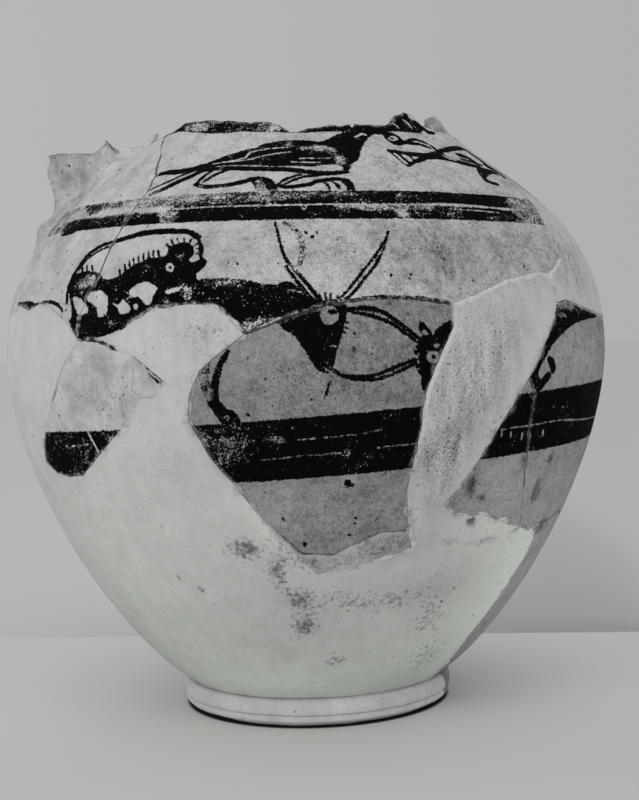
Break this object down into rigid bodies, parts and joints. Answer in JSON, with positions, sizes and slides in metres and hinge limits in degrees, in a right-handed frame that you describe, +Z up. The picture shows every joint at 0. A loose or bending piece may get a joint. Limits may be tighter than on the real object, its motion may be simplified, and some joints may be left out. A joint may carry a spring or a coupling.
{
  "type": "pottery jar",
  "caption": "Broken and mended storage jar with a wide belly, narrow ring foot, ragged open top and one handle root, in sherds and plaster fills.",
  "frame": {"origin": "centre of the foot's underside, on the surface the jar stands on", "axes": "+Z up through the mouth, the painted front faces -Y, the handle root is on the -X side"},
  "size_m": [0.3995, 0.4, 0.3928],
  "materials": {
    "slip_pale": "pale slip with dark painted decoration, unglazed",
    "slip_worn": "worn slip over fired clay, unglazed",
    "clay_dark": "darkened fired clay, unglazed",
    "plaster": "scraped museum plaster, matt"
  },
  "bodies": {
    "root": {"foot_ring_front": "plaster", "foot_ring_rear": "clay_dark", "floor_fill": "plaster", "floor_sherd": "clay_dark", "shoulder_sherd_left": "slip_pale", "shoulder_sherd_front": "slip_pale", "shoulder_sherd_rear_right": "slip_worn", "shoulder_sherd_rear_left": "slip_worn", "belly_sherd_centre": "clay_dark", "belly_sherd_tip": "slip_worn", "belly_sherd_left": "slip_pale", "belly_chip": "slip_pale", "belly_sherd_right_inner": "clay_dark", "belly_sherd_right_outer": "clay_dark", "belly_sherd_rear_right": "slip_worn", "belly_sherd_rear_left": "slip_worn", "lower_sherd_right": "clay_dark", "lower_sherd_rear": "clay_dark", "lens_fill": "plaster", "strip_fill": "plaster", "shoulder_fill_right": "plaster", "lower_fill": "plaster", "rear_fill": "plaster", "handle_root": "slip_worn"}
  },
  "joints": []
}
